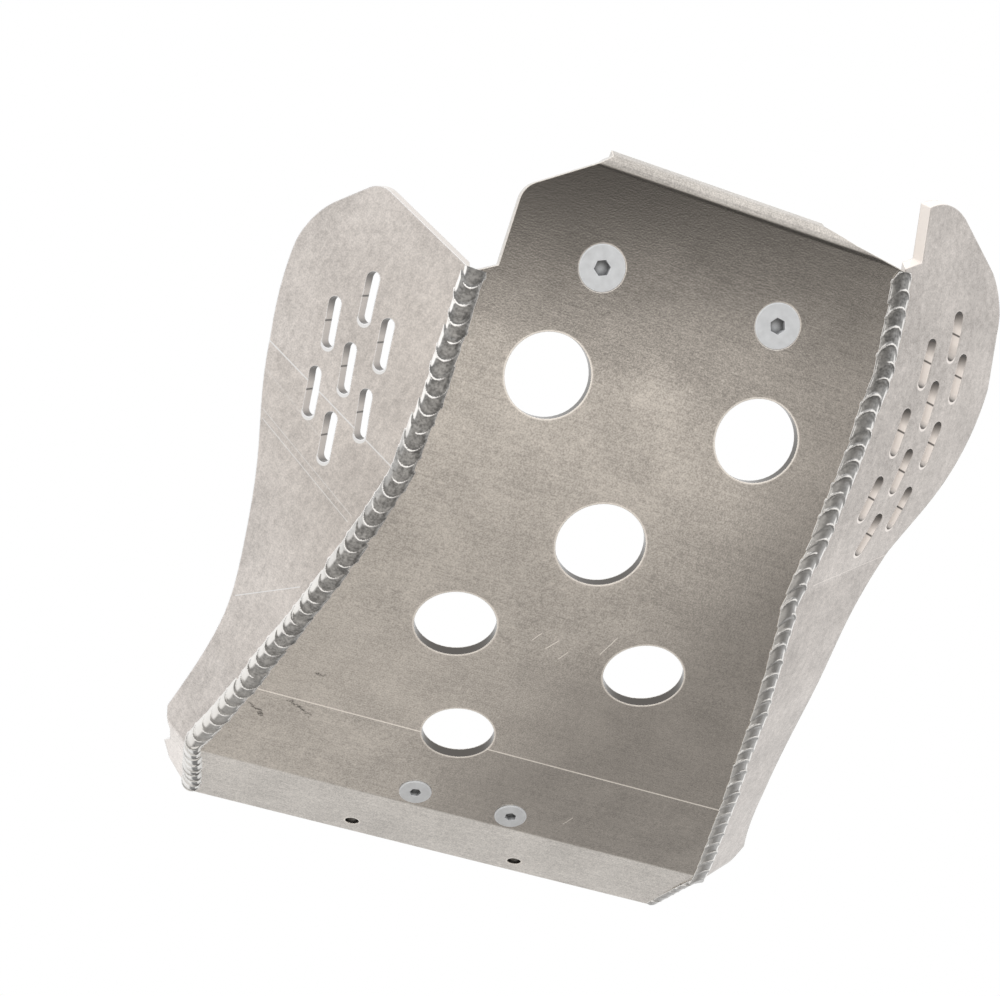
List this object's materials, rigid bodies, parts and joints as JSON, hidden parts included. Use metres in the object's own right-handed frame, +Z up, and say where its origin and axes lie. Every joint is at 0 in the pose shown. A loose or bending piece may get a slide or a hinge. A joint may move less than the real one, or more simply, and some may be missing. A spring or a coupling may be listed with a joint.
{
  "type": "motorcycle skid plate",
  "caption": "Welded aluminium skid plate for an off-road motorcycle: a swept main plate with round holes, flared slotted side plates, rippled seams and countersunk screws.",
  "frame": {"origin": "centre of the flat middle panel, on its underside, on the centre line of the main plate", "axes": "+X to the rider's left, +Y to the rear of the motorcycle, +Z up, as fitted to the machine"},
  "size_m": [0.257, 0.3033, 0.0984],
  "materials": {
    "main_sheet": "satin mill finish with a fine grain across",
    "side_sheet": "satin mill finish",
    "weld": "bare rippled weld",
    "screw": "bright zinc plate"
  },
  "bodies": {
    "root": {"main_plate": "main_sheet", "left_side_plate": "side_sheet", "right_side_plate": "side_sheet", "left_weld_bead": "weld", "right_weld_bead": "weld", "front_screws": "screw", "rear_screws": "screw"}
  },
  "joints": []
}
